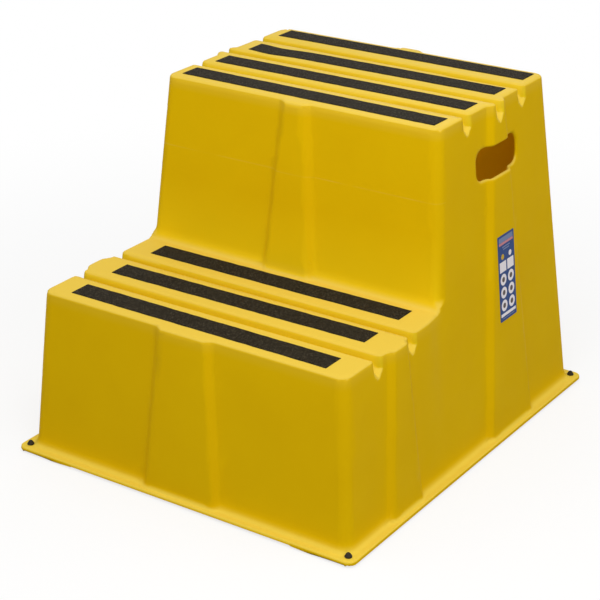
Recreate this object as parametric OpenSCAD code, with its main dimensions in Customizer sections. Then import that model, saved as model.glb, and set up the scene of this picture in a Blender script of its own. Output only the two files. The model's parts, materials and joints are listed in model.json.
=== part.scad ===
// Two-step safety step: a hollow moulded shell with ribbed treads, anti-slip strips, rubber feet
// and a side label. Origin: middle of the footprint, on the floor. X is left to right, Y is front
// to back, and Z is up.

/* [Overall] */
// Rise of one step, from the floor to the lower tread and on to the upper tread
step_rise = 216; // [180:1:240]
// Width of the base flange, left to right
base_w = 500; // [480:1:600]
// Depth of the base flange, front to back
base_d = 574; // [566:1:640]
// Depth from the front edge of the flange to the upper riser, measured at the lower tread
riser_setback = 242; // [236:1:252]
// Draft of every wall from the vertical, in degrees
draft = 5; // [3:0.5:6]

/* [Shell] */
// Wall thickness of the moulding
wall = 5; // [3:0.5:6]
// Radius of the upright corners
corner_r = 13.5; // [8:0.5:20]
// Radius of the edges round the treads and the groove mouths
edge_r = 5; // [3:0.5:6]
// Radius of the fillet at the foot of the upper riser
riser_fillet = 5; // [2:0.5:8]

/* [Flange] */
// Distance from the foot of the walls out to the edge of the flange
ledge = 14.5; // [13:0.5:22]
// Radius of the flange corners in plan
flange_corner_r = 19; // [12:1:23]
// Rounding of the flange's upper rim
rim_r = 2; // [0.5:0.5:3]
// Radius of the fillet between the flange and the walls
foot_fillet = 10; // [5:0.5:11]

/* [Stiffening bands] */
// How far the raised bands stand proud of the walls
band_proud = 7; // [3:0.5:9]
// Width of a band's face at its tread
band_face = 25; // [15:1:40]
// Width of the sloping flank on each side of a band
band_flank = 10; // [6:0.5:14]
// Distance from the lower riser back to the middle of the lower side bands, at the flange
low_band_setback = 122; // [110:1:132]

/* [Grooves] */
// Width of a groove between its walls
groove_w = 11.5; // [8:0.5:14]
// Depth of a groove below the tread
groove_depth = 15.5; // [8:0.5:20]
// Distance from the front edge of each tread to the middle of its first groove
groove_front = 63.5; // [60:0.5:66]
// Distance from the upper riser to the middle of the lower tread's last groove
groove_riser = 71.5; // [68:0.5:74]
// Distance from the back edge of the upper tread to the middle of its last groove
groove_back = 63; // [60:0.5:66]
// Radius with which a groove runs out over the side walls
groove_end_r = 8; // [6.5:0.5:12]

/* [Hand holes] */
// Width of a hand hole
hand_w = 104; // [90:1:130]
// Height of a hand hole
hand_h = 44; // [30:1:50]
// Corner radius of a hand hole
hand_r = 14; // [6:1:15]
// Depth of the middle of the hand holes below the upper tread
hand_drop = 71; // [60:1:110]

/* [Anti-slip strips] */
// Distance from the side edges of the upper tread to the ends of the strips
strip_end = 13.5; // [8:0.5:40]
// Width of a strip
strip_w = 31.5; // [20:0.5:33]
// Thickness of a strip
strip_t = 0.9; // [0.5:0.1:2]
// Distance from the front edge of each tread to the middle of its first strip
strip_front = 29; // [24:0.5:31]
// Distance from the upper riser to the middle of the lower tread's last strip
strip_riser = 28.5; // [25:0.5:35]
// Distance from the back edge of the upper tread to the middle of its last strip
strip_back = 20.5; // [20.5:0.5:28]
// Thickness of the adhesive under the strips and the label
glue_t = 0.05; // [0.05:0.05:0.2]

/* [Side label] */
// Width of the label
label_w = 41; // [20:1:50]
// Height of the label
label_h = 112; // [60:1:130]
// Thickness of the label
label_t = 0.3; // [0.2:0.1:1]
// Depth of the middle of the label below the middle of the hand hole
label_drop = 150; // [110:1:190]

/* [Rubber feet] */
// Diameter of the pad under the flange
pad_d = 14; // [12:0.5:16]
// Height of the pad, which lifts the flange off the floor
pad_h = 2.5; // [1.5:0.5:6]
// Diameter of the stem in the flange
stem_d = 6; // [4:0.5:7]
// Diameter of the pointed head above the flange
head_d = 9; // [8:0.5:10]
// Height of the pointed head
head_h = 6.5; // [5:0.5:8]
// Height of the upright rim at the foot of the head
head_rim_h = 1.3; // [0.5:0.1:2]
// Diameter of the blunt tip of the head
head_tip_d = 2.3; // [1:0.1:3]
// Distance from the flange's edges to the middle of a foot
foot_inset = 12; // [11:0.5:14]
// Clearance round the stem in its hole
stem_gap = 0.2; // [0.1:0.05:0.4]

/* [Hidden] */

yellow = "#e0b000";
grit_black = "#3a332a";
rubber_black = "#2b2a28";
label_blue = "#2c456e";

// Slope of the walls, and the two tread heights
slope = tan(draft);
low_top = step_rise;
high_top = 2 * step_rise;
// The flange is as thick as the wall and stands on the pads
flange_top = pad_h + wall;
// Segments of each rounded corner, rounded edge, band flank and groove run-out
corner_n = 5;
edge_n = 4;
flank_n = 4;
run_out_n = 4;
// Segments of a full circle in the grooves, in the holes and in the turned feet
groove_fn = 24;
hole_fn = 32;
turned_fn = 48;
// Share of a flank that is rounded at each end
flank_soft = 0.3;
// Smallest radius inside the wall, and how far a cutting shape runs past what it cuts
inner_r = 1;
past = 1;
// Thickness of the slices that a groove's shape is drawn through
slice_t = 0.01;

// Distance of the drafted walls inside the flange's edge, at height z
function wall_inset(z) = ledge + (z - flange_top) * slope;
function wall_x(z) = base_w / 2 - wall_inset(z);
function front_y(z) = wall_inset(z) - base_d / 2;
function back_y(z) = base_d / 2 - wall_inset(z);
function riser_y(z) = riser_setback - base_d / 2 + (z - low_top) * slope;

// Middles of the side bands: the upper step's, and the lower step's
high_band_y = (riser_y(high_top) + back_y(high_top)) / 2;
low_band_y = front_y(flange_top) + low_band_setback;

// Half the width of a band's face at height z, for a band that ends at the tread height top
function band_half(z, top) = band_face / 2 + (top - z) * slope;

// Rise of a band's flank from 0 to 1, with soft ends
function ramp(u) =
  let (k = 2 * flank_soft * (1 - flank_soft))
  u < flank_soft ? u * u / k : u > 1 - flank_soft ? 1 - (1 - u) * (1 - u) / k
  : (u - flank_soft / 2) / (1 - flank_soft);

// Points of one band along its wall, as distance along the wall and height above it
function band_points(middle, half, proud) = [
  for (i = [0:flank_n]) [middle - half - band_flank * (1 - i / flank_n), proud * ramp(i / flank_n)],
  for (i = [flank_n:-1:0]) [middle + half + band_flank * (1 - i / flank_n), proud * ramp(i / flank_n)]
];

// Rounded corner of a ring about a centre, from the angle start through a quarter turn
function corner_points(cx, cy, r, start) = [
  for (i = [0:corner_n]) let (a = start + 90 * i / corner_n) [cx + r * cos(a), cy + r * sin(a)]
];

// Closed ring at height z. Bands are given for the front and back as half widths, and for the
// sides as pairs of middle and half width, from front to back.
function ring(z, half_x, y0, y1, r, proud, front_half, side_bands) =
  let (
    across = band_points(0, front_half, proud),
    along = [for (b = side_bands) each band_points(b[0], b[1], proud)],
    last = len(along) - 1,
    flat = concat(
      [for (p = across) [p[0], y0 - p[1]]],
      corner_points(half_x - r, y0 + r, r, -90),
      [for (p = along) [half_x + p[1], p[0]]],
      corner_points(half_x - r, y1 - r, r, 0),
      [for (p = across) [-p[0], y1 + p[1]]],
      corner_points(r - half_x, y1 - r, r, 90),
      [for (i = [last:-1:0]) [-half_x - along[i][1], along[i][0]]],
      corner_points(r - half_x, y0 + r, r, 180)
    )
  )
  [for (p = flat) [p[0], p[1], z]];

// Solid through a stack of rings with the same number of points, from the bottom up
module loft(rings) {
  n = len(rings[0]);
  top = len(rings) - 1;
  sides = [
    for (k = [0:top - 1], i = [0:n - 1])
      let (j = (i + 1) % n, a = k * n + i, b = k * n + j)
      each [[a, a + n, b + n], [a, b + n, b]]
  ];
  polyhedron(
    points = [for (r = rings) each r],
    faces = concat([[for (i = [0:n - 1]) i]], sides, [[for (i = [n - 1:-1:0]) top * n + i]])
  );
}

// Ring of the lower part at height z, inset from the edge of the flange
function low_ring(z, inset, r, proud, thin) = ring(
  z, base_w / 2 - inset, inset - base_d / 2, base_d / 2 - inset, r, proud,
  band_half(z, high_top) - thin,
  [[low_band_y, band_half(z, low_top) - thin], [high_band_y, band_half(z, high_top) - thin]]
);

// Ring of the upper part at height z, with its front edge flared out over the lower tread
function high_ring(z, inset, flare, r, proud, thin) = ring(
  z, base_w / 2 - inset, riser_y(z) - flare, base_d / 2 - inset, r, proud,
  band_half(z, high_top) - thin,
  [[high_band_y, band_half(z, high_top) - thin]]
);

// A band's foot keeps clear of the flange's rim: its height above the wall at the flange
foot_proud = max(0, min(band_proud, ledge - foot_fillet - rim_r));
// How much narrower the inner face of a band is, so that the wall keeps its thickness
band_thin = wall * tan(atan(band_proud / band_flank) / 2);
// Outer radius that is left where a corner turns inside the wall
inner_corner_r = max(corner_r - wall, inner_r);
inner_edge_r = max(edge_r - wall, inner_r);

// Rings of the rounded edge of a tread, from the start of the rounding up to the tread
function low_edge_rings(top, r, thick, corner, thin) = [
  for (i = [0:edge_n])
    let (
      a = 90 * i / edge_n,
      z = top - r * (1 - sin(a)),
      back = thick + r * (1 - cos(a))
    )
    low_ring(z, wall_inset(z) + back, corner, band_proud, thin)
];
function high_edge_rings(top, r, thick, corner, thin) = [
  for (i = [0:edge_n])
    let (
      a = 90 * i / edge_n,
      z = top - r * (1 - sin(a)),
      back = thick + r * (1 - cos(a))
    )
    high_ring(z, wall_inset(z) + back, -back, corner, band_proud, thin)
];

// Outside of the lower part: rim, flange, foot fillet, walls and lower tread, without its grooves
module low_outside() {
  rim = [
    low_ring(pad_h, rim_r / 2, flange_corner_r - rim_r / 2, 0, 0),
    low_ring(pad_h + rim_r / 2, 0, flange_corner_r, 0, 0),
    for (i = [0:edge_n / 2])
      let (a = 180 * i / edge_n, back = rim_r * (1 - cos(a)))
      low_ring(flange_top - rim_r * (1 - sin(a)), back, flange_corner_r - back, 0, 0)
  ];
  foot = [
    for (i = [0:edge_n])
      let (
        a = 90 * i / edge_n,
        z = flange_top + foot_fillet * (1 - cos(a)),
        out = foot_fillet * (1 - sin(a)),
        proud = foot_proud + (band_proud - foot_proud) * sin(a)
      )
      low_ring(z, wall_inset(z) - out, corner_r + out / 2, proud, 0)
  ];
  loft(concat(rim, foot, low_edge_rings(low_top, edge_r, 0, corner_r, 0)));
}

// Outside of the upper part. It starts where the lower tread's edge begins to round, so that the
// walls run through, and its riser flares into a fillet on the lower tread.
module high_outside() {
  start = low_top - edge_r;
  riser_foot = [
    for (i = [0:edge_n])
      let (
        a = 90 * i / edge_n,
        z = low_top + riser_fillet * (1 - cos(a)),
        flare = riser_fillet * (1 - sin(a))
      )
      high_ring(z, wall_inset(z), flare, corner_r, band_proud, 0)
  ];
  loft(concat(
    [high_ring(start, wall_inset(start), riser_fillet, corner_r, band_proud, 0)],
    riser_foot,
    high_edge_rings(high_top, edge_r, 0, corner_r, 0)
  ));
}

// Hollow of the lower part, one wall inside it, flaring out under the flange
module low_hollow() {
  flare_r = foot_fillet + wall;
  function foot_ring(a, drop) =
    let (
      z = flange_top + foot_fillet - flare_r * cos(a),
      out = foot_fillet - flare_r * sin(a),
      proud = foot_proud + (band_proud - foot_proud) * sin(a)
    )
    low_ring(z - drop, wall_inset(z) - out, inner_corner_r + (out + wall) / 2, proud, band_thin);
  loft(concat(
    [foot_ring(0, past)],
    [for (i = [0:edge_n]) foot_ring(90 * i / edge_n, 0)],
    low_edge_rings(low_top - wall, inner_edge_r, wall, inner_corner_r, band_thin)
  ));
}

// Hollow of the upper part, which opens into the lower one
module high_hollow() {
  start = low_top - wall - inner_edge_r;
  loft(concat(
    [high_ring(start, wall_inset(start) + wall, -wall, inner_corner_r, band_proud, band_thin)],
    high_edge_rings(high_top - wall, inner_edge_r, wall, inner_corner_r, band_thin)
  ));
}

// Slice across a groove: a slot with a round bottom, grown by a distance on all sides
module groove_slice(x, grow) {
  translate([x, 0, 0]) rotate([90, 0, 90]) linear_extrude(slice_t) {
    translate([0, groove_w / 2 - groove_depth]) circle(groove_w / 2 + grow, $fn = groove_fn);
    translate([-groove_w / 2 - grow, groove_w / 2 - groove_depth])
      square([groove_w + 2 * grow, groove_depth - groove_w / 2 + past]);
  }
}

// Run-out of a groove over the side wall at x = end: its slices grow along an arc
module groove_end(end, grow) {
  r = groove_end_r - grow;
  function spread(k) = r * (1 - cos(90 * k / run_out_n));
  function place(k) = end - groove_end_r + r * sin(90 * k / run_out_n);
  for (k = [0:run_out_n - 1]) hull() {
    groove_slice(place(k), grow + spread(k));
    groove_slice(place(k + 1), grow + spread(k + 1));
  }
  hull() {
    groove_slice(place(run_out_n), grow + r);
    groove_slice(end + band_proud + past, grow + r);
  }
}

// Rounded mouth of a groove at the tread, from wall to wall
module groove_mouth(end) {
  reach = end + past;
  half = groove_w / 2 + edge_r;
  rotate([90, 0, 90]) translate([0, 0, -reach]) linear_extrude(2 * reach) difference() {
    translate([-half, -edge_r]) square([2 * half, edge_r + past]);
    for (side = [-1, 1]) translate([side * half, -edge_r]) circle(edge_r, $fn = groove_fn);
  }
}

// Whole groove across a tread, grown by a distance, with the side walls at x = end
module groove(end, grow) {
  hull() for (side = [-1, 1]) groove_slice(side * (end - groove_end_r), grow);
  for (side = [0, 1]) mirror([side, 0, 0]) groove_end(end, grow);
  if (grow == 0) groove_mouth(end);
}

// Places spread evenly from one place to another, both of them included
function spread_evenly(from, to, count) = [for (i = [0:count - 1]) from + (to - from) * i / (count - 1)];

// Middles of the grooves in each tread
low_grooves = spread_evenly(front_y(low_top) + groove_front, riser_y(low_top) - groove_riser, 2);
high_grooves = spread_evenly(riser_y(high_top) + groove_front, back_y(high_top) - groove_back, 3);

// Distance of the side surface from the middle at the bottom of a groove's run-out
function groove_reach(y, top, band_y) =
  let (on_band = abs(y - band_y) < band_half(top, top))
  wall_x(top - groove_depth - groove_end_r) + (on_band ? band_proud : 0);

module grooves(grow) {
  for (y = low_grooves)
    translate([0, y, low_top]) groove(groove_reach(y, low_top, low_band_y), grow);
  for (y = high_grooves)
    translate([0, y, high_top]) groove(groove_reach(y, high_top, high_band_y), grow);
}

// Rounded hand holes through both side walls
module hand_holes() {
  inner = wall_x(high_top) - wall - band_flank;
  reach = wall_x(0) + band_proud + past;
  for (side = [-1, 1])
    translate([side * inner, high_band_y, high_top - hand_drop]) rotate([0, side * 90, 0])
      hull() for (up = [-1, 1], along = [-1, 1])
        translate([up * (hand_h / 2 - hand_r), along * (hand_w / 2 - hand_r), 0])
          cylinder(h = reach - inner, r = hand_r, $fn = hole_fn);
}

// Puts its children at the middle of one foot, on the floor
module at_foot(side_x, side_y) {
  translate([side_x * (base_w / 2 - foot_inset), side_y * (base_d / 2 - foot_inset), 0]) children();
}

// Puts its children at all four feet
module at_feet() {
  for (side_x = [-1, 1], side_y = [-1, 1]) at_foot(side_x, side_y) children();
}

// One-piece hollow moulding
module body_shell() {
  boss_r = pad_d / 2 + stem_gap;
  seat_r = head_d / 2 + stem_gap;
  hole_r = stem_d / 2 + stem_gap;
  color(yellow) difference() {
    union() {
      difference() {
        union() {
          low_outside();
          high_outside();
        }
        difference() {
          union() {
            low_hollow();
            high_hollow();
          }
          grooves(wall);
        }
        grooves(0);
      }
      at_feet() translate([0, 0, pad_h]) cylinder(h = wall, r = boss_r, $fn = hole_fn);
    }
    hand_holes();
    at_feet() {
      translate([0, 0, flange_top]) cylinder(h = head_h + foot_fillet, r = seat_r, $fn = hole_fn);
      translate([0, 0, pad_h - past]) cylinder(h = wall + 2 * past, r = hole_r, $fn = hole_fn);
    }
  }
}

// Middles of the strips on each tread
low_strips = spread_evenly(front_y(low_top) + strip_front, riser_y(low_top) - strip_riser, 3);
high_strips = spread_evenly(riser_y(high_top) + strip_front, back_y(high_top) - strip_back, 4);

// The upper strips are laid by hand: how far each is from its even place, and its turn in degrees
upper_lay = [0, -2, -1.5, 0];
upper_turn = [-0.7, 0, 0.4, 0];

// Anti-slip strip on a tread, with its middle at y. Both treads take the same length.
module strip(y, top, turn = 0) {
  length = 2 * (wall_x(high_top) - strip_end);
  color(grit_black) translate([0, y, top + glue_t]) rotate([0, 0, turn])
    translate([-length / 2, -strip_w / 2, 0]) cube([length, strip_w, strip_t]);
}

module upper_strip(number) {
  i = number - 1;
  strip(high_strips[i] + upper_lay[i], high_top, upper_turn[i]);
}

module lower_strip(number) {
  strip(low_strips[number - 1], low_top);
}

// Push-in rubber foot: a pad under the flange, a stem through it and a pointed head above it
module rubber_foot(side_x, side_y) {
  color(rubber_black) at_foot(side_x, side_y) rotate_extrude($fn = turned_fn) {
    square([pad_d / 2, pad_h]);
    square([stem_d / 2, flange_top]);
    translate([0, flange_top]) polygon([
      [0, 0], [head_d / 2, 0], [head_d / 2, head_rim_h],
      [head_tip_d, head_h - head_tip_d / 2], [head_tip_d / 2, head_h], [0, head_h]
    ]);
  }
}

// Sticker on the face of the right side band
module side_label() {
  label_z = high_top - hand_drop - label_drop;
  color(label_blue)
    translate([wall_x(label_z) + band_proud, high_band_y, label_z]) rotate([0, -draft, 0])
      translate([glue_t, -label_w / 2, -label_h / 2]) cube([label_t, label_w, label_h]);
}

body_shell();
upper_strip(1);  // upper_strip_1
upper_strip(2);  // upper_strip_2
upper_strip(3);  // upper_strip_3
upper_strip(4);  // upper_strip_4
lower_strip(1);  // lower_strip_1
lower_strip(2);  // lower_strip_2
lower_strip(3);  // lower_strip_3
rubber_foot(-1, -1);  // foot_front_left
rubber_foot(1, -1);  // foot_front_right
rubber_foot(-1, 1);  // foot_back_left
rubber_foot(1, 1);  // foot_back_right
side_label();
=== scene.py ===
import json
import math

import bmesh
import bpy
import numpy as np
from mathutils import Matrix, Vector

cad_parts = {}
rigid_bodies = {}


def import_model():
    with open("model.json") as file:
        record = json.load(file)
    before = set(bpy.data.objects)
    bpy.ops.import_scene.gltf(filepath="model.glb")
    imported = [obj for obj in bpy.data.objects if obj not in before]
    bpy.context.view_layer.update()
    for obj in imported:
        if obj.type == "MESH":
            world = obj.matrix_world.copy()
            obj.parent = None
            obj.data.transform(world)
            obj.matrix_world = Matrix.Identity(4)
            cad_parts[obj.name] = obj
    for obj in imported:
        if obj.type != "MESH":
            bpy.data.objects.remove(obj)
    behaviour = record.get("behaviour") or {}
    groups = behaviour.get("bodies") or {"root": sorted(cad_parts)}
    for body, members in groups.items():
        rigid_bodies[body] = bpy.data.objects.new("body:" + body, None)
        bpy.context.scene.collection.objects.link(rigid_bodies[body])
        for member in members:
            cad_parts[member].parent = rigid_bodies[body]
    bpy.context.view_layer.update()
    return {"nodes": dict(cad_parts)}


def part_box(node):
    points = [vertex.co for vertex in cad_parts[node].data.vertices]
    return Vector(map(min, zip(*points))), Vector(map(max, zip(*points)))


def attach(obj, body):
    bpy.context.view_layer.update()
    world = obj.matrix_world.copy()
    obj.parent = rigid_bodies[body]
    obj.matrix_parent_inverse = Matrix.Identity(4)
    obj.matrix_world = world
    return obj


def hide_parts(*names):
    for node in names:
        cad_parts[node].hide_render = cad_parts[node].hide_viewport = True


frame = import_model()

import openvdb
from mathutils import Matrix, Vector

SEED = 7
bpy.context.scene.view_settings.view_transform = "Standard"

# Sizes in millimetres. What the frame tells is read from it, and the rest is the moulding's own.
MM = 0.001
SHELL_LOW, SHELL_HIGH = (np.array(corner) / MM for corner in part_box("body_shell"))
HALF_W = SHELL_HIGH[0]
HALF_D = SHELL_HIGH[1]
PAD_H = SHELL_LOW[2]
HIGH_TOP = SHELL_HIGH[2]
LOW_TOP = HIGH_TOP / 2

# Walls: their thickness and draft, how far they stand in from the flange's edge, and their roundings
WALL = 5.0
DRAFT = math.radians(5)
SLOPE = math.tan(DRAFT)
LEAN = math.cos(DRAFT)
LEDGE = 14.5
RISER_SETBACK = 242.0
CORNER_R = 13.5
EDGE_R = 3.0
INNER_R = 3.0

# Fillets at the foot of the walls and of the riser, plain and on a raised band: how far out and up
FILLET_W = 6.5
FILLET_H = 14.0
BAND_FILLET_W = 4.0
BAND_FILLET_H = 6.0

# Flange round the foot. Its edges bow in, and its rim turns down a little
FLANGE_TOP = PAD_H + WALL
FLANGE_CORNER_R = 11.0
FLANGE_BOW = 0.5
RIM_R = 2.0
RIM_LIP = 1.0
RIM_UNDER_R = 1.0

# Raised bands: height, width of the face at its tread, width of a flank, and softness of its edges.
# The lower step's side bands are set back from the foot of the front wall
BAND_PROUD = 7.0
BAND_FACE = 25.0
BAND_FLANK = 9.0
BAND_SOFT = 1.6
LOW_BAND_SETBACK = 122.0

# The lower step stands out a little towards its top, as it came out of the mould
SWELL_RIGHT = 4.0
SWELL_FRONT = 2.0

# Round-bottomed grooves, and the distances from the tread's front edge, the riser and the back edge
# to the nearest one. They lie a little back and out of square, as they came out of the mould
GROOVE_W = 10.5
GROOVE_DRAFT = math.tan(math.radians(11))
GROOVE_DEPTH = 15.5
GROOVE_FRONT = 63.5
GROOVE_RISER = 71.5
GROOVE_BACK = 63.0
GROOVE_SHIFT = 1.2
GROOVE_SKEW = -0.004
MOUTH_R = 3.2

# Pointed scoop where a groove runs out: half its width, its depth below the groove's bottom, how
# fast it closes further in, and the rounding of its edge
RUN_OUT_HALF = 8.7
RUN_OUT_DOWN = 10.0
RUN_OUT_TAPER = 0.6
RUN_OUT_R = 1.5

# Hand holes, at the narrowest, and the depth of their middle below the upper tread
HAND_W = 99.0
HAND_H = 38.0
HAND_R = 13.0
HAND_DROP = 70.0
HAND_LIP_R = 3.5

# Rubber feet. Each one's stem goes down through a hole in the flange, and its head ends bluntly
FOOT_LOW, FOOT_HIGH = (np.array(corner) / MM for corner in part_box("foot_front_right"))
FOOT_X, FOOT_Y = np.abs(FOOT_LOW + FOOT_HIGH)[:2] / 2
FOOT_HEAD_R = 4.5
FOOT_BLUNT = 0.9
FOOT_STEM_R = 3.0
STEM_GAP = 0.2
STEM_HOLE_EDGE_R = 0.3

# The moulding is meshed from a grid that is fine where its shape turns and coarse between. Some
# planes of the grid are worked out at a time, and the points are then moved onto the true surface
FINE_STEP = 1.8
COARSE_STEP = 6.0
NEAR_SURFACE = 3 * FINE_STEP
MERGING = 0.4
PLANES = 8
CORRECTIONS = 3


def wall_inset(z):
    """How far the walls stand in from the flange's edge at a height."""
    return LEDGE + (z - FLANGE_TOP) * SLOPE


def riser_y(z):
    """Place of the riser's face from front to back at a height."""
    return RISER_SETBACK - HALF_D + (z - LOW_TOP) * SLOPE


LOW_FRONT_Y = wall_inset(LOW_TOP) - HALF_D
HIGH_BACK_Y = HALF_D - wall_inset(HIGH_TOP)
HIGH_BAND_Y = (riser_y(HIGH_TOP) + HIGH_BACK_Y) / 2
LOW_BAND_Y = wall_inset(FLANGE_TOP) - HALF_D + LOW_BAND_SETBACK
LOW_GROOVES = np.linspace(LOW_FRONT_Y + GROOVE_FRONT, riser_y(LOW_TOP) - GROOVE_RISER, 2)
HIGH_GROOVES = np.linspace(riser_y(HIGH_TOP) + GROOVE_FRONT, HIGH_BACK_Y - GROOVE_BACK, 3)


# Distance fields: negative inside the plastic, positive outside it

def common(a, b, r):
    """What both shapes hold, with its outer edges rounded to radius r."""
    return np.minimum(np.maximum(a, b), -r) + np.hypot(np.maximum(a + r, 0), np.maximum(b + r, 0))


def joined(a, b, r):
    """What either shape holds, with a fillet of radius r between them."""
    return np.maximum(np.minimum(a, b), r) - np.hypot(np.maximum(r - a, 0), np.maximum(r - b, 0))


def standing(wall, flat, w, h):
    """A wall joined to the flat it stands on, with a fillet that reaches w out and h up."""
    stretch = h / w
    return joined(wall * stretch, flat, h) / mix(1, stretch, np.clip(flat / h, 0, 1))


def smooth_step(t):
    t = np.clip(t, 0, 1)
    return t * t * (3 - 2 * t)


def mix(a, b, t):
    return a + (b - a) * t


def band_shape(along, z, top):
    """Height of a raised band from 0 to 1, over the distance from its middle."""
    half = BAND_FACE / 2 + (top - z) * SLOPE
    t = 1 - (np.abs(along) - half) / BAND_FLANK
    soft = BAND_SOFT / BAND_FLANK
    low = (t + np.sqrt(t * t + soft * soft)) / 2
    u = 1 - low
    return 1 - (u + np.sqrt(u * u + soft * soft)) / 2


def run_out(across, up, inward):
    """A pointed scoop where a groove leaves through a wall. It gets smaller further in."""
    slant = math.atan2(RUN_OUT_DOWN, RUN_OUT_HALF)
    point = math.sin(slant) * np.abs(across) - math.cos(slant) * (up + RUN_OUT_DOWN)
    return np.maximum(point, np.abs(across) - RUN_OUT_HALF) + RUN_OUT_TAPER * np.maximum(inward, 0)


def flange_plan(x, y):
    """Distance from the flange's outline, seen from above."""
    bow_x = FLANGE_BOW * (1 - (y / HALF_D) ** 2)
    bow_y = FLANGE_BOW * (1 - (x / HALF_W) ** 2)
    return common(np.abs(x) - HALF_W + bow_x, np.abs(y) - HALF_D + bow_y, FLANGE_CORNER_R)


def form(x, y, z, inset):
    """The outside of the moulding, or the hollow that lies inset by the wall within it."""
    high_face = BAND_PROUD * band_shape(x, z, HIGH_TOP)
    high_side = BAND_PROUD * band_shape(y - HIGH_BAND_Y, z, HIGH_TOP)
    low_side = BAND_PROUD * band_shape(y - LOW_BAND_Y, z, LOW_TOP)
    low_part = smooth_step((riser_y(LOW_TOP) - y) / CORNER_R / 3) * smooth_step(z / LOW_TOP)
    swell_side = SWELL_RIGHT * low_part * smooth_step(0.5 + x / HALF_W)
    swell_end = SWELL_FRONT * low_part
    side_band = np.maximum(high_side, low_side)
    sides = (np.abs(x) - HALF_W + wall_inset(z)) * LEAN - side_band - swell_side + inset
    ends = (np.abs(y) - HALF_D + wall_inset(z)) * LEAN - high_face - swell_end + inset
    riser = (riser_y(z) - y) * LEAN - high_face + inset
    on_band = high_face / BAND_PROUD
    steps = standing(riser, z - LOW_TOP + inset, mix(FILLET_W, BAND_FILLET_W, on_band) + inset,
                     mix(FILLET_H, BAND_FILLET_H, on_band) + inset)
    corner_r = max(CORNER_R - inset, INNER_R)
    edge_r = max(EDGE_R - inset, INNER_R)
    walls = common(sides, ends, corner_r)
    turn_r = mix(edge_r, corner_r, smooth_step((z - LOW_TOP + inset) / CORNER_R))
    body = common(walls, steps, turn_r)
    body = common(body, z - HIGH_TOP + inset, edge_r)

    flange = common(flange_plan(x, y), z - FLANGE_TOP + inset, RIM_R)
    by_side = np.abs(x) > np.abs(y) * HALF_W / HALF_D
    on_band = np.maximum(np.where(by_side, side_band, high_face), 0) / BAND_PROUD
    body = standing(body, flange, mix(FILLET_W, BAND_FILLET_W, on_band) + inset,
                    mix(FILLET_H, BAND_FILLET_H, on_band) + inset)

    for top, places in ((LOW_TOP, LOW_GROOVES), (HIGH_TOP, HIGH_GROOVES)):
        middle = top - GROOVE_DEPTH + GROOVE_W / 2
        rise = np.minimum(z - middle, 0)
        at_wall = smooth_step((top - z) / (2 * MOUTH_R) - 0.5)
        edge = mix(MOUTH_R, RUN_OUT_R, at_wall) if inset == 0 else INNER_R
        for place in places:
            across = y - place - GROOVE_SHIFT - x * GROOVE_SKEW
            drafted = np.maximum(z - middle, 0) * GROOVE_DRAFT
            slot = np.hypot(across, rise) - GROOVE_W / 2 - drafted - inset
            scoop = run_out(across, z - top + GROOVE_DEPTH, -sides) - inset
            cut = common(-slot, -scoop, RUN_OUT_R)
            reach = z > top - 3 * GROOVE_DEPTH
            body = np.where(reach, common(body, cut, edge), body)
    return body


def shell_distance(x, y, z):
    """The whole moulding: its outside, hollowed, cut off at the bottom and pierced by its holes."""
    shell = np.maximum(form(x, y, z, 0.0), -form(x, y, z, WALL))
    hand_hole = common(np.abs(y - HIGH_BAND_Y) - HAND_W / 2,
                       np.abs(z - HIGH_TOP + HAND_DROP) - HAND_H / 2, HAND_R)
    shell = common(shell, -hand_hole, HAND_LIP_R)
    stem_hole = np.hypot(np.abs(x) - FOOT_X, np.abs(y) - FOOT_Y) - FOOT_STEM_R - STEM_GAP
    shell = common(shell, -stem_hole, STEM_HOLE_EDGE_R)
    lip = RIM_LIP * smooth_step(1 + flange_plan(x, y) / WALL)
    return common(shell, PAD_H - lip - z, RIM_UNDER_R)


def gradient(points, reach=0.05):
    """Direction in which the distance grows fastest at each point."""
    x, y, z = points.T
    slopes = [
        shell_distance(x + reach, y, z) - shell_distance(x - reach, y, z),
        shell_distance(x, y + reach, z) - shell_distance(x, y - reach, z),
        shell_distance(x, y, z + reach) - shell_distance(x, y, z - reach),
    ]
    return np.stack(slopes, -1) / (2 * reach)


def grid_line(low, high, fine):
    """Places of grid planes from low to high, close together in the fine stretches."""
    places = [low]
    while places[-1] < high:
        here = places[-1]
        inside = any(start - COARSE_STEP < here < end for start, end in fine)
        places.append(here + (FINE_STEP if inside else COARSE_STEP))
    return np.array(places)


def fine_stretches():
    """Stretches of x, y and z in which the moulding's shape turns."""
    band_foot = BAND_FACE / 2 + BAND_FLANK + HIGH_TOP * SLOPE
    grooves = [(place - GROOVE_W, place + GROOVE_W) for place in (*LOW_GROOVES, *HIGH_GROOVES)]
    x = [(0, band_foot), (HALF_W - wall_inset(HIGH_TOP) - 3 * CORNER_R, HALF_W + EDGE_R)]
    y = grooves + [
        (-HALF_D - EDGE_R, LOW_FRONT_Y + 2 * CORNER_R),
        (LOW_BAND_Y - band_foot, LOW_BAND_Y + band_foot),
        (riser_y(LOW_TOP) - CORNER_R, riser_y(HIGH_TOP) + 2 * CORNER_R),
        (HIGH_BAND_Y - band_foot, HIGH_BAND_Y + band_foot),
        (HIGH_BACK_Y - 2 * CORNER_R, HALF_D + EDGE_R),
    ]
    hand_z = HIGH_TOP - HAND_DROP
    z = [
        (-EDGE_R, FLANGE_TOP + 1.5 * FILLET_H),
        (LOW_TOP - 2 * GROOVE_DEPTH, LOW_TOP + 2 * CORNER_R),
        (hand_z - HAND_H / 2 - 2 * EDGE_R, hand_z + HAND_H / 2 + 2 * EDGE_R),
        (HIGH_TOP - 2 * GROOVE_DEPTH, HIGH_TOP + 2 * EDGE_R),
    ]
    return x, y, z


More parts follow.
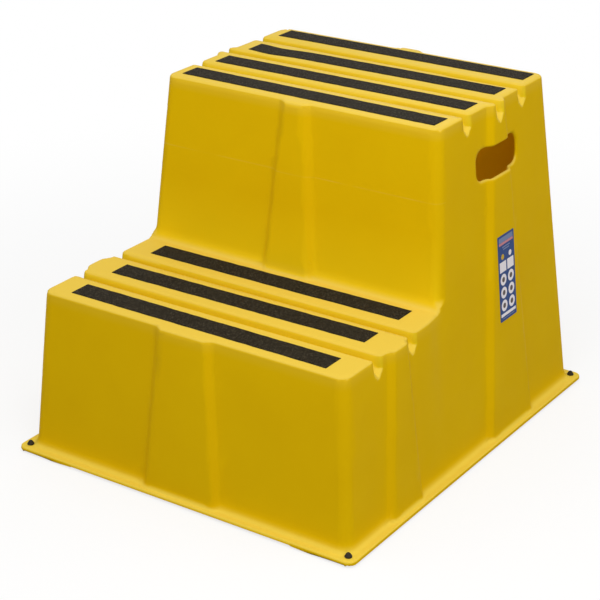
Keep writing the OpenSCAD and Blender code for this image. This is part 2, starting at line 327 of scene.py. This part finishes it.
def moulded_surface():
    """Points, faces and normals of the moulding's surface."""
    fine_x, fine_y, fine_z = fine_stretches()
    half = grid_line(0, HALF_W + NEAR_SURFACE, fine_x)
    xs = np.concatenate([-half[:0:-1], half])
    ys = grid_line(-HALF_D - NEAR_SURFACE, HALF_D + NEAR_SURFACE, fine_y)
    zs = grid_line(-NEAR_SURFACE, HIGH_TOP + NEAR_SURFACE, fine_z)
    values = np.empty((len(xs), len(ys), len(zs)), np.float32)
    for i in range(0, len(xs), PLANES):
        places = np.meshgrid(xs[i:i + PLANES], ys, zs, indexing="ij")
        values[i:i + PLANES] = shell_distance(*(p.astype(np.float32) for p in places))
    values = np.clip(values, -NEAR_SURFACE, NEAR_SURFACE)
    grid = openvdb.FloatGrid(NEAR_SURFACE)
    grid.copyFromArray(np.ascontiguousarray(values))
    points, triangles, quads = grid.convertToPolygons(isovalue=0, adaptivity=MERGING)
    points = np.stack([np.interp(points[:, k], np.arange(len(line)), line)
                       for k, line in enumerate((xs, ys, zs))], -1)
    for _ in range(CORRECTIONS):
        slope = gradient(points)
        steep = np.maximum((slope ** 2).sum(1), 0.25)
        move = (shell_distance(*points.T) / steep)[:, None] * slope
        points -= np.clip(move, -FINE_STEP, FINE_STEP)
    normals = gradient(points)
    normals /= np.maximum(np.linalg.norm(normals, axis=1), 1e-6)[:, None]
    faces = [list(map(int, face)) for face in (*triangles, *quads)]
    return points, faces, normals


def new_object(name, mesh, material, cad_nodes):
    """Adds a piece that stands for CAD nodes and moves with the object."""
    mesh.materials.append(material)
    piece = bpy.data.objects.new(name, mesh)
    bpy.context.scene.collection.objects.link(piece)
    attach(piece, "root")
    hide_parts(*cad_nodes)
    return piece


def moulded_body(material):
    """The moulding as a smooth mesh, with its faces turned outwards."""
    points, faces, normals = moulded_surface()
    a, b, c = (points[[f[i] for f in faces]] for i in range(3))
    outward = normals[[f[0] for f in faces]]
    if np.median((np.cross(b - a, c - a) * outward).sum(1)) < 0:
        faces = [f[::-1] for f in faces]
    mesh = bpy.data.meshes.new("moulded_body")
    mesh.from_pydata((points * MM).tolist(), [], faces)
    mesh.validate()
    mesh.shade_smooth()
    mesh.normals_split_custom_set_from_vertices(normals.tolist())
    print("moulded body:", len(points), "points,", sum(len(f) - 2 for f in faces), "triangles")
    return new_object("moulded_body", mesh, material, ["body_shell"])


# Materials

class Nodes:
    """A new material's node tree, with short calls that add and link nodes."""

    def __init__(self, name):
        self.material = bpy.data.materials.new(name)
        self.material.use_nodes = True
        self.tree = self.material.node_tree
        self.shader = self.tree.nodes["Principled BSDF"]

    def add(self, kind, inputs=None, **settings):
        node = self.tree.nodes.new(kind)
        for key, value in settings.items():
            setattr(node, key, value)
        for key, value in (inputs or {}).items():
            if isinstance(value, bpy.types.NodeSocket):
                self.tree.links.new(value, node.inputs[key])
            else:
                node.inputs[key].default_value = value
        return node

    def link(self, output, key):
        self.tree.links.new(output, self.shader.inputs[key])

    def place(self):
        return self.add("ShaderNodeTexCoord").outputs["Object"]

    def noise(self, scale, detail=3.0, roughness=0.5):
        """Noise over the object's own space. Scale is in cells to the metre."""
        inputs = {"Vector": self.place(), "Scale": scale, "Detail": detail, "Roughness": roughness}
        return self.add("ShaderNodeTexNoise", inputs).outputs["Fac"]

    def axis(self, vector, name):
        return self.add("ShaderNodeSeparateXYZ", {"Vector": vector}).outputs[name]

    def normal(self):
        return self.add("ShaderNodeNewGeometry").outputs["Normal"]

    def outside(self, value, middle, half):
        """How far a value in metres lies outside middle give or take half, which are in millimetres."""
        away = self.math("ABSOLUTE", self.math("SUBTRACT", value, middle * MM))
        return self.math("SUBTRACT", away, half * MM)

    def distance(self, axis, middle, half):
        """The same for the place along one axis."""
        return self.outside(self.axis(self.place(), axis), middle, half)

    def ramp(self, value, start, end, most=1.0):
        """Rises from 0 at start to most at end."""
        return self.add("ShaderNodeMapRange", {"Value": value, 1: start, 2: end, 4: most}).outputs[0]

    def math(self, operation, first, second=0.0):
        return self.add("ShaderNodeMath", {0: first, 1: second}, operation=operation).outputs[0]

    def mould_line(self):
        """A faint pale line round the front of the upper step, where the mould's halves met."""
        line = self.ramp(self.distance("Z", HIGH_TOP - MOULD_LINE_DROP, 0), MOULD_LINE_HALF * MM, 0)
        faint = self.math("MULTIPLY", line, self.spread(self.noise(22.0), 0.0, MOULD_LINE_PALE))
        front_end = (riser_y(HIGH_TOP) + CORNER_R / 2) * MM
        front = self.math("LESS_THAN", self.axis(self.place(), "Y"), front_end)
        return self.math("MULTIPLY", faint, front)

    def by_grooves(self, shallow, deep, fade):
        """1 within the width of any groove between two depths below its tread, and 0 elsewhere."""
        total = 0.0
        half = (deep - shallow) / 2
        for top, places in ((LOW_TOP, LOW_GROOVES), (HIGH_TOP, HIGH_GROOVES)):
            off_z = self.distance("Z", top - shallow - half, half)
            for place in places:
                off = self.math("MAXIMUM", self.distance("Y", place + GROOVE_SHIFT, GROOVE_W), off_z)
                inside = self.ramp(off, 0, -fade * MM)
                total = self.math("MAXIMUM", inside, total)
        return total

    def spread(self, value, low, high):
        """Maps a noise value, which lies mostly between 0.3 and 0.7, onto low to high."""
        node = self.add("ShaderNodeMapRange", {"Value": value, 1: 0.3, 2: 0.7, 3: low, 4: high})
        return node.outputs[0]

    def blend(self, factor, first, second):
        """Mixes two colours, each a triple or another node's output."""
        pair = [c if isinstance(c, bpy.types.NodeSocket) else (*c, 1) for c in (first, second)]
        inputs = {0: factor, 6: pair[0], 7: pair[1]}
        return self.add("ShaderNodeMix", inputs, data_type="RGBA").outputs[2]

    def bump(self, height, strength, distance, normal=None):
        inputs = {"Height": height, "Strength": strength, "Distance": distance}
        if normal is not None:
            inputs["Normal"] = normal
        return self.add("ShaderNodeBump", inputs).outputs["Normal"]


# The plastic: its two clouded tones, the paler tone of its mould line and of the painted sheen on what
# faces up, and three tones of painted light: on the flange and in the scoops, in the grooves, and at
# the riser's foot
YELLOW = (0.80, 0.503, 0.0012)
YELLOW_DEEP = (0.77, 0.472, 0.0010)
YELLOW_PALE = (0.81, 0.565, 0.070)
YELLOW_PAINTED_BRIGHT = (0.865, 0.620, 0.065)
YELLOW_GROOVE_PAINTED_LIGHT = (0.81, 0.572, 0.008)
YELLOW_RISER_FOOT_PAINTED_LIGHT = (0.87, 0.585, 0.005)

# Painted highlight on the walls just below a tread's edge: in full down to the nearer of the two
# depths, fading out at the farther one
LIP_HIGHLIGHT_DEPTH = 16.0
LIP_HIGHLIGHT_FROM = 5.0
LIP_HIGHLIGHT_LOW = 0.15
LIP_HIGHLIGHT_HIGH = 0.25

# Heights above the lower tread and above the floor between which the riser and the foot get painted
# light that makes them paler
RISER_FOOT_PALE = 12.0
RISER_FOOT_END = 90.0
FLANGE_BRIGHT = 12.0
FLANGE_BRIGHT_END = 30.0

# Mould line: its depth below the upper tread, its strength and half its width
MOULD_LINE_DROP = 88.0
MOULD_LINE_PALE = 0.7
MOULD_LINE_HALF = 0.9


def yellow_plastic():
    """Satin moulded plastic. Faces turned up carry painted sheen, and the flange, grooves, scoops and
    riser's foot carry painted light.
    """
    m = Nodes("moulded_yellow")
    cloud = m.spread(m.noise(9.0, 4.0, 0.6), 0.0, 1.0)
    plain = m.blend(cloud, YELLOW_DEEP, YELLOW)
    height = m.axis(m.place(), "Z")
    back = m.axis(m.place(), "Y")

    # Painted sheen: faces that turn up take the paler tone
    up = m.axis(m.normal(), "Z")
    level = {"Value": up, 1: 0.25, 2: 0.75}
    painted_sheen_mask = m.add("ShaderNodeMapRange", level, interpolation_type="SMOOTHSTEP").outputs[0]
    # Painted highlight on the walls just below each tread's edge
    treads = (LOW_TOP, riser_y(LOW_TOP), LIP_HIGHLIGHT_LOW), (HIGH_TOP, HALF_D, LIP_HIGHLIGHT_HIGH)
    for top, end, most in treads:
        lip_highlight = m.ramp(m.distance("Z", top, 0), LIP_HIGHLIGHT_DEPTH * MM, LIP_HIGHLIGHT_FROM * MM, most)
        here = m.ramp(back, (end + FILLET_W) * MM, (end - FILLET_W) * MM)
        painted_sheen_mask = m.math("MAXIMUM", painted_sheen_mask, m.math("MULTIPLY", lip_highlight, here))
    # Painted highlight in the scoops where the grooves run out
    scoop = m.by_grooves(GROOVE_DEPTH - 1, GROOVE_DEPTH + RUN_OUT_DOWN + 1, 1)
    scoop = m.math("MULTIPLY", scoop, m.ramp(up, 0.15, 0.4))
    painted_sheen_mask = m.math("MAXIMUM", painted_sheen_mask, scoop)

    # Painted light in the grooves, lighter than their shade would be
    plain = m.blend(m.by_grooves(0, GROOVE_DEPTH + 2, 3), plain, YELLOW_GROOVE_PAINTED_LIGHT)
    plain = m.blend(m.mould_line(), plain, YELLOW_PALE)
    # Painted light on the riser's foot, on faces turned to the front
    rising = m.math("SUBTRACT", height, LOW_TOP * MM)
    near_foot = m.ramp(rising, RISER_FOOT_END * MM, RISER_FOOT_PALE * MM)
    above = m.math("GREATER_THAN", rising, 0.0)
    to_front = m.ramp(m.axis(m.normal(), "Y"), -0.5, -0.9)
    painted_foot_light = m.math("MULTIPLY", m.math("MULTIPLY", near_foot, above), to_front)
    plain = m.blend(painted_foot_light, plain, YELLOW_RISER_FOOT_PAINTED_LIGHT)

    # Painted light on the flange and in the scoops: a brighter tone still
    painted_brightening = m.math("MAXIMUM", m.ramp(height, FLANGE_BRIGHT_END * MM, FLANGE_BRIGHT * MM), scoop)
    painted_sheen_colour = m.blend(painted_brightening, YELLOW_PALE, YELLOW_PAINTED_BRIGHT)
    m.link(m.blend(painted_sheen_mask, plain, painted_sheen_colour), "Base Color")
    m.link(m.spread(m.noise(40.0, 4.0), 0.42, 0.52), "Roughness")
    m.shader.inputs["Specular IOR Level"].default_value = 0.02
    waves = m.bump(m.noise(14.0, 1.0), 0.25, 0.0012)
    m.link(m.bump(m.noise(900.0, 3.0, 0.6), 0.10, 0.0002, waves), "Normal")
    return m.material


GRIT_DARK = (0.014, 0.011, 0.006)
GRIT_PALE = (0.070, 0.058, 0.040)


def grit():
    """Coarse dark grit in which single grains catch the light."""
    m = Nodes("anti_slip_grit")
    grains = m.add("ShaderNodeTexVoronoi", {"Vector": m.place(), "Scale": 1400.0})
    cells = m.add("ShaderNodeTexVoronoi", {"Vector": m.place(), "Scale": 1000.0})
    speckle = m.math("POWER", m.axis(cells.outputs["Color"], "X"), 4.0)
    m.link(m.blend(speckle, GRIT_DARK, GRIT_PALE), "Base Color")
    m.shader.inputs["Roughness"].default_value = 0.85
    m.shader.inputs["Specular IOR Level"].default_value = 0.08
    lumps = m.bump(m.noise(500.0, 3.0, 0.7), 0.6, 0.0005)
    m.link(m.bump(grains.outputs["Distance"], 0.6, 0.0004, lumps), "Normal")
    return m.material


RUBBER_DARK = (0.020, 0.016, 0.010)
RUBBER_PALE = (0.036, 0.029, 0.018)


def rubber():
    """Matte black rubber with a fine uneven skin."""
    m = Nodes("black_rubber")
    cloud = m.spread(m.noise(300.0), 0.0, 1.0)
    m.link(m.blend(cloud, RUBBER_DARK, RUBBER_PALE), "Base Color")
    m.shader.inputs["Roughness"].default_value = 0.6
    m.shader.inputs["Specular IOR Level"].default_value = 0.15
    m.link(m.bump(m.noise(1500.0), 0.2, 0.0002), "Normal")
    return m.material


# Anti-slip strips

STRIP_CELL = 2.0
STRIP_TRIM = 0.7
STRIP_EDGE_WAVE = 0.35
STRIP_WAVE_LENGTH = 9.0
STRIP_ROUGH = 0.12
STRIP_RIM_DROP = 0.35

# One strip bends to the front near its left end: how far, where from its middle, and over what length
BENT_STRIP = "upper_strip_3"
BEND_DEPTH = 4.0
BEND_PLACE = -140.0
BEND_LENGTH = 24.0

# How each strip was laid: its left end in, its right end out, and its left and right end to the front
STRIP_LAY = {
    "upper_strip_1": (0.7, 0.0, 0.0, 0.0),
    "upper_strip_2": (3.4, 1.0, 1.2, 1.2),
    "upper_strip_3": (7.0, 1.0, 3.5, 3.5),
    "upper_strip_4": (3.3, 1.9, 2.5, 2.5),
    "lower_strip_1": (1.0, 2.4, 0.5, 2.9),
    "lower_strip_2": (1.6, 1.8, 1.9, -0.6),
    "lower_strip_3": (3.0, 2.4, 2.5, 2.0),
}


def strip_frame(node):
    """Middle, directions along and across, length, width, bottom and top of a strip's solid."""
    points = np.array([v.co for v in frame["nodes"][node].data.vertices]) / MM
    middle = (points.min(0) + points.max(0)) / 2
    left = points[points[:, 0] < middle[0]]
    right = points[points[:, 0] > middle[0]]
    axis = right[:, :2].mean(0) - left[:, :2].mean(0)
    length = float(np.hypot(*axis))
    across = np.array([-axis[1], axis[0]]) / length
    width = float(np.ptp(left[:, :2] @ across))
    return middle, axis / length, across, length, width, points[:, 2].min(), points[:, 2].max()


def wave(values, seed, length):
    """A random line over the values that bends every length and stays between -1 and 1."""
    random = np.random.default_rng(seed)
    knots = np.arange(values.min() - length, values.max() + 2 * length, length)
    heights = random.uniform(-1, 1, len(knots))
    return np.interp(values, knots, heights)


def anti_slip_strip(node, seed, material):
    """A gritty strip with slightly uneven edges and a rough top, as it was stuck on."""
    middle, axis, across, length, width, low, high = strip_frame(node)
    left_in, right_out, left_slide, right_slide = STRIP_LAY[node]
    nu, nv = round(length / STRIP_CELL), round(width / STRIP_CELL)
    u = np.linspace(left_in - length / 2, length / 2 + right_out, nu + 1)
    v = np.linspace(-0.5, 0.5, nv + 1)
    width -= 2 * STRIP_TRIM
    random = np.random.default_rng(seed)
    dip = BEND_DEPTH if node == BENT_STRIP else 0.0
    dips = -dip * np.exp(-((u - BEND_PLACE) / BEND_LENGTH) ** 2)
    bend = dips - np.linspace(left_slide, right_slide, nu + 1)
    front = wave(u, seed + 1, STRIP_WAVE_LENGTH) * STRIP_EDGE_WAVE
    back = wave(u, seed + 2, STRIP_WAVE_LENGTH) * STRIP_EDGE_WAVE
    flat_u = np.repeat(u[:, None], nv + 1, 1)
    flat_v = v[None, :] * width
    edge = np.where(v[None, :] < 0, front[:, None], back[:, None]) * (2 * np.abs(v[None, :])) ** 4
    flat_v = flat_v + edge + bend[:, None]
    xy = middle[:2] + flat_u[..., None] * axis + flat_v[..., None] * across
    rise = high - random.uniform(0, STRIP_ROUGH, flat_u.shape)
    rim = np.ones_like(rise, bool)
    rim[1:-1, 1:-1] = False
    rise = np.where(rim, high - STRIP_RIM_DROP, rise)
    top = np.concatenate([xy, rise[..., None]], -1).reshape(-1, 3)
    bottom = top.copy()
    bottom[:, 2] = low
    count = len(top)
    faces = []
    index = np.arange(count).reshape(nu + 1, nv + 1)
    for i in range(nu):
        for j in range(nv):
            a, b, c, d = index[i, j], index[i + 1, j], index[i + 1, j + 1], index[i, j + 1]
            faces.append((a, b, c, d))
            faces.append((a + count, d + count, c + count, b + count))
    ring = list(index[:, 0]) + list(index[-1, 1:]) + list(index[-2::-1, -1]) + list(index[0, -2:0:-1])
    for a, b in zip(ring, ring[1:] + ring[:1]):
        faces.append((b, a, a + count, b + count))
    places = np.concatenate([top, bottom]) * MM
    mesh = bpy.data.meshes.new("grit_" + node)
    mesh.from_pydata(places.tolist(), [], [tuple(map(int, f)) for f in faces])
    mesh.validate()
    return new_object("grit_" + node, mesh, material, [node])


# Sticker: a printed film that carries plain fields only

LABEL_CORNER_R = 1.5
LABEL_BLUE = (0.028, 0.070, 0.235)
LABEL_PALE = (0.90, 0.85, 0.88)
LABEL_GREY = (0.19, 0.24, 0.40)
LABEL_YELLOW = (0.62, 0.40, 0.03)
LABEL_RED = (0.60, 0.24, 0.26)
LABEL_DARK = (0.12, 0.09, 0.08)


def label_fields(width):
    """Plain fields in millimetres: middle across, middle down, half sizes or radius, and colour."""
    half = width / 2
    left, right = width * 0.27, width * 0.73
    boxes = [
        (half, 6, half - 3, 3.2, LABEL_GREY),
        (half, 11, half - 3, 1.6, LABEL_RED),
        (half, 16, half - 11, 0.8, LABEL_GREY),
        (half, 19, half - 13, 0.8, LABEL_GREY),
        (left, 41, 8, 6.7, LABEL_PALE),
        (right, 41, 8, 6.7, LABEL_PALE),
        (half, 104, half - 2, 2, LABEL_PALE),
        (half, 108.5, half - 6, 0.5, LABEL_GREY),
    ]
    discs = [(left, 28, 3.6, LABEL_YELLOW), (right, 28, 3.6, LABEL_PALE)]
    for row in (57.8, 75, 92):
        for column in (left, right):
            discs.append((column, row, 7.4, LABEL_PALE))
            discs.append((column, row, 3.4, LABEL_DARK))
    return boxes, discs


def printed_film(width):
    """Blue film with the plain fields in flat colours."""
    m = Nodes("printed_film")
    place = m.add("ShaderNodeUVMap").outputs["UV"]
    across, down = m.axis(place, "X"), m.axis(place, "Y")
    boxes, discs = label_fields(width)
    deeper = tuple(0.92 * c for c in LABEL_BLUE)
    colour = m.blend(m.spread(m.noise(120.0), 0.0, 1.0), deeper, LABEL_BLUE)
    for u, v, half_u, half_v, field in boxes:
        off = m.math("MAXIMUM", m.outside(across, u, half_u), m.outside(down, v, half_v))
        colour = m.blend(m.math("LESS_THAN", off, 0.0), colour, field)
    for u, v, radius, field in discs:
        far = m.add("ShaderNodeVectorMath", {0: place, 1: (u * MM, v * MM, 0)}, operation="DISTANCE")
        inside = m.math("LESS_THAN", far.outputs["Value"], radius * MM)
        colour = m.blend(inside, colour, field)
    m.link(colour, "Base Color")
    m.link(m.spread(m.noise(60.0), 0.30, 0.38), "Roughness")
    m.shader.inputs["Specular IOR Level"].default_value = 0.06
    m.link(m.bump(m.noise(150.0), 0.1, 0.0003), "Normal")
    return m.material


def sticker(node):
    """A thin film with rounded corners on the tilted face of the band."""
    points = np.array([v.co for v in frame["nodes"][node].data.vertices]) / MM
    low, high = points.min(0), points.max(0)
    middle = (low + high) / 2
    outward = np.array([LEAN, 0, SLOPE * LEAN])
    upward = np.array([-SLOPE * LEAN, 0, LEAN])
    half_w = (high[1] - low[1]) / 2
    half_h = np.ptp(points @ upward) / 2
    half_t = np.ptp(points @ outward) / 2
    outline = []
    for turn, (side, end) in enumerate(((1, 1), (-1, 1), (-1, -1), (1, -1))):
        for k in range(5):
            t = math.radians(90 * turn + 22.5 * k)
            outline.append((side * (half_w - LABEL_CORNER_R) + LABEL_CORNER_R * math.cos(t),
                            end * (half_h - LABEL_CORNER_R) + LABEL_CORNER_R * math.sin(t)))
    count = len(outline)
    ring = [np.array([0, u, 0]) + v * upward for u, v in outline]
    places = [middle + p + outward * t for t in (half_t, -half_t) for p in ring]
    faces = [list(range(count)), list(range(2 * count - 1, count - 1, -1))]
    faces += [(k, k + count, (k + 1) % count + count, (k + 1) % count) for k in range(count)]
    mesh = bpy.data.meshes.new("printed_sticker")
    mesh.from_pydata((np.array(places) * MM).tolist(), [], faces)
    layer = mesh.uv_layers.new(name="print")
    for loop in mesh.loops:
        u, v = outline[loop.vertex_index % count]
        layer.data[loop.index].uv = ((u + half_w) * MM, (half_h - v) * MM)
    return new_object("printed_sticker", mesh, printed_film(2 * half_w), [node])


# Rubber feet

FOOT_TURNS = 48
HEAD_RINGS = 6

# Head of a foot: the rounding at its rim, and its shoulder's height and distance in
HEAD_SOFT = 0.6
SHOULDER_UP = 1.8
SHOULDER_IN = 0.35


def turned(name, profile, centre):
    """A solid turned about the upright line through centre, from its profile of radius and height."""
    mesh = bpy.data.meshes.new(name)
    b = bmesh.new()
    rings = []
    for radius, height in profile:
        if radius < 1e-6:
            rings.append([b.verts.new((centre[0], centre[1], height * MM))])
            continue
        ring = []
        for k in range(FOOT_TURNS):
            t = 2 * math.pi * k / FOOT_TURNS
            x = centre[0] + radius * MM * math.cos(t)
            y = centre[1] + radius * MM * math.sin(t)
            ring.append(b.verts.new((x, y, height * MM)))
        rings.append(ring)
    for low, high in zip(rings, rings[1:]):
        for k in range(FOOT_TURNS):
            n = (k + 1) % FOOT_TURNS
            if len(low) == 1:
                b.faces.new((low[0], high[n], high[k]))
            elif len(high) == 1:
                b.faces.new((low[k], low[n], high[0]))
            else:
                b.faces.new((low[k], low[n], high[n], high[k]))
    b.normal_update()
    b.to_mesh(mesh)
    b.free()
    mesh.shade_smooth()
    return mesh


def rubber_foot(node, material):
    """A push-in foot: a pad, a stem through the flange and a pointed head with soft edges."""
    low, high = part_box(node)
    centre = ((low.x + high.x) / 2, (low.y + high.y) / 2)
    pad_r = (high.x - low.x) / 2 / MM
    pad = [(0, 0), (pad_r - 1.0, 0), (pad_r - 0.3, 0.25), (pad_r, 0.9), (pad_r, PAD_H - 0.5),
           (pad_r - 0.4, PAD_H)]
    stem = [(FOOT_STEM_R, PAD_H), (FOOT_STEM_R, FLANGE_TOP)]
    shoulder_r = FOOT_HEAD_R - SHOULDER_IN
    shoulder = FLANGE_TOP + SHOULDER_UP
    rim = [(FOOT_HEAD_R - HEAD_SOFT, FLANGE_TOP),
           (FOOT_HEAD_R - HEAD_SOFT / 4, FLANGE_TOP + HEAD_SOFT / 4),
           (FOOT_HEAD_R, FLANGE_TOP + HEAD_SOFT),
           (FOOT_HEAD_R, FLANGE_TOP + 2 * HEAD_SOFT),
           (shoulder_r, shoulder)]
    rise = high.z / MM - FOOT_BLUNT - shoulder
    point = []
    for k in range(1, HEAD_RINGS):
        t = k / HEAD_RINGS
        hollowed = 1 - 0.12 * math.sin(math.pi * t)
        rounded = 0.9 * t * (1 - t) ** 0.3
        radius = shoulder_r * (1 - t) ** 0.85 * hollowed + rounded
        point.append((radius, shoulder + rise * math.sin(t * math.pi / 2) ** 0.9))
    profile = pad + stem + rim + point + [(0, shoulder + rise)]
    mesh = turned("foot_" + node, profile, centre)
    return new_object("rubber_" + node, mesh, material, [node])


# Camera, fitted to the corners, edges and outlines in the photograph

AZIMUTH = 34.597
ELEVATION = 24.088
ROLL = math.radians(-0.495)
CAMERA_PLACE = (1.17758, -1.72828, 1.09688)
FOCAL_PIXELS = 1804.6
IMAGE_PIXELS = 600
SENSOR = 36.0


def direction(turn, height):
    """The direction turn degrees from the front towards the right and height degrees up."""
    turn, height = math.radians(turn), math.radians(height)
    level = math.cos(height)
    return Vector((math.sin(turn) * level, -math.cos(turn) * level, math.sin(height)))


def camera():
    """The photograph's view: back points from the object to the camera."""
    back = direction(AZIMUTH, ELEVATION)
    level = (-back).cross(Vector((0, 0, 1))).normalized()
    upright = level.cross(-back)
    right = level * math.cos(ROLL) + upright * math.sin(ROLL)
    up = upright * math.cos(ROLL) - level * math.sin(ROLL)
    data = bpy.data.cameras.new("camera")
    data.sensor_width = SENSOR
    data.lens = FOCAL_PIXELS * SENSOR / IMAGE_PIXELS
    data.clip_end = 50
    made = bpy.data.objects.new("camera", data)
    bpy.context.scene.collection.objects.link(made)
    made.matrix_world = Matrix((
        (right.x, up.x, back.x, CAMERA_PLACE[0]),
        (right.y, up.y, back.y, CAMERA_PLACE[1]),
        (right.z, up.z, back.z, CAMERA_PLACE[2]),
        (0, 0, 0, 1),
    ))
    bpy.context.scene.camera = made


# Light and floor. The floor shows a share of its shadow, less and less between two distances in metres

AMBIENT = 0.477
FLOOR_BOUNCE = 0.35
FLOOR_FAR = 12.0
SHADOW_REACH = (0.45, 1.3)
SHADOW_SHARE = 0.25


def area_light(name, place, target, size, strength):
    """A square lamp whose strength is the light it gives a surface that faces it at the target."""
    data = bpy.data.lights.new(name, "AREA")
    data.shape = "SQUARE"
    data.size = size
    distance = (Vector(place) - Vector(target)).length
    data.energy = strength * math.pi * math.pi * distance ** 2
    lamp = bpy.data.objects.new(name, data)
    bpy.context.scene.collection.objects.link(lamp)
    lamp.location = place
    lamp.rotation_euler = (Vector(place) - Vector(target)).to_track_quat("Z", "Y").to_euler()
    lamp.visible_camera = False


def seen_rays(tree):
    """1 for rays that see the background itself: from the camera, from gloss and through glass."""
    path = tree.nodes.new("ShaderNodeLightPath")
    total = path.outputs["Is Camera Ray"]
    for name in ("Is Glossy Ray", "Is Transmission Ray"):
        most = tree.nodes.new("ShaderNodeMath")
        most.operation = "MAXIMUM"
        tree.links.new(total, most.inputs[0])
        tree.links.new(path.outputs[name], most.inputs[1])
        total = most.outputs[0]
    return total


def world():
    """Even light all round, and plain white where the world itself is seen."""
    made = bpy.data.worlds.new("world")
    bpy.context.scene.world = made
    made.use_nodes = True
    tree = made.node_tree
    light = tree.nodes["Background"]
    light.inputs["Color"].default_value = (1, 1, 1, 1)
    light.inputs["Strength"].default_value = AMBIENT
    seen = tree.nodes.new("ShaderNodeBackground")
    seen.inputs["Color"].default_value = (1, 1, 1, 1)
    seen.inputs["Strength"].default_value = 1.0
    blend = tree.nodes.new("ShaderNodeMixShader")
    tree.links.new(seen_rays(tree), blend.inputs[0])
    tree.links.new(light.outputs[0], blend.inputs[1])
    tree.links.new(seen.outputs[0], blend.inputs[2])
    tree.links.new(blend.outputs[0], tree.nodes["World Output"].inputs["Surface"])


def floor():
    """A white floor that keeps the shadow near the object and turns fully white further out."""
    mesh = bpy.data.meshes.new("floor")
    corners = [(x * FLOOR_FAR, y * FLOOR_FAR, 0) for x, y in ((-1, -1), (1, -1), (1, 1), (-1, 1))]
    mesh.from_pydata(corners, [], [(0, 1, 2, 3)])
    made = bpy.data.objects.new("floor", mesh)
    bpy.context.scene.collection.objects.link(made)
    m = Nodes("floor")
    m.tree.nodes.remove(m.shader)
    radius = m.add("ShaderNodeVectorMath", {0: m.place()}, operation="LENGTH").outputs["Value"]
    near, far = SHADOW_REACH
    share = m.add("ShaderNodeMapRange", {"Value": radius, 1: near, 2: far, 3: SHADOW_SHARE, 4: 0.0},
                  interpolation_type="SMOOTHSTEP").outputs[0]
    lit = m.add("ShaderNodeBsdfDiffuse", {"Color": (1, 1, 1, 1)}).outputs[0]
    glow = m.add("ShaderNodeEmission", {"Color": (1, 1, 1, 1)}).outputs[0]
    seen = m.add("ShaderNodeMixShader", {0: share, 1: glow, 2: lit}).outputs[0]
    bounce = (FLOOR_BOUNCE, FLOOR_BOUNCE, FLOOR_BOUNCE, 1)
    plain = m.add("ShaderNodeBsdfDiffuse", {"Color": bounce}).outputs[0]
    both = m.add("ShaderNodeMixShader", {0: seen_rays(m.tree), 1: plain, 2: seen})
    m.tree.links.new(both.outputs[0], m.tree.nodes["Material Output"].inputs["Surface"])
    mesh.materials.append(m.material)


# Lamps: degrees from the front towards the right, degrees up, metres away, size and strength
LAMPS = {
    "key_light": (30, 56, 1.6, 0.9, 0.39),
    "right_light": (90, 56, 1.6, 0.9, 0.11),
    "left_light": (-60, 56, 1.6, 0.9, 0.06),
    "low_left_light": (-30, 25, 2.0, 1.0, 0.03),
    "low_right_light": (120, 25, 2.0, 1.0, 0.055),
    "corner_light": (50, 12, 2.0, 0.8, 0.085),
    "top_light": (0, 85, 1.8, 1.0, 0.045),
    "back_light": (205, 20, 2.0, 1.0, 0.09),
}
LIT_PLACE = (0, 0, 0.2)

# The lamp in the hollow gives the light that comes in through the walls of the real one
HOLLOW_LIGHT_PLACE = (0, 0.05, 0.30)
HOLLOW_LIGHT_COLOUR = (1.0, 0.80, 0.10)
HOLLOW_LIGHT_WATTS = 0.24
HOLLOW_LIGHT_RADIUS = 0.05


def lights():
    """The soft lamps round the object, and the weak one in its hollow."""
    for name, (turn, height, distance, size, strength) in LAMPS.items():
        place = Vector(LIT_PLACE) + direction(turn, height) * distance
        area_light(name, place, LIT_PLACE, size, strength)
    data = bpy.data.lights.new("hollow_light", "POINT")
    data.color = HOLLOW_LIGHT_COLOUR
    data.energy = HOLLOW_LIGHT_WATTS
    data.shadow_soft_size = HOLLOW_LIGHT_RADIUS
    lamp = bpy.data.objects.new("hollow_light", data)
    bpy.context.scene.collection.objects.link(lamp)
    lamp.location = HOLLOW_LIGHT_PLACE
    lamp.visible_camera = False


camera()
world()
floor()
lights()

moulded_body(yellow_plastic())

GRIT = grit()
for number, strip_node in enumerate(STRIP_LAY):
    anti_slip_strip(strip_node, SEED + 10 * number, GRIT)

sticker("side_label")

RUBBER = rubber()
for foot_node in ("foot_front_left", "foot_front_right", "foot_back_left", "foot_back_right"):
    rubber_foot(foot_node, RUBBER)
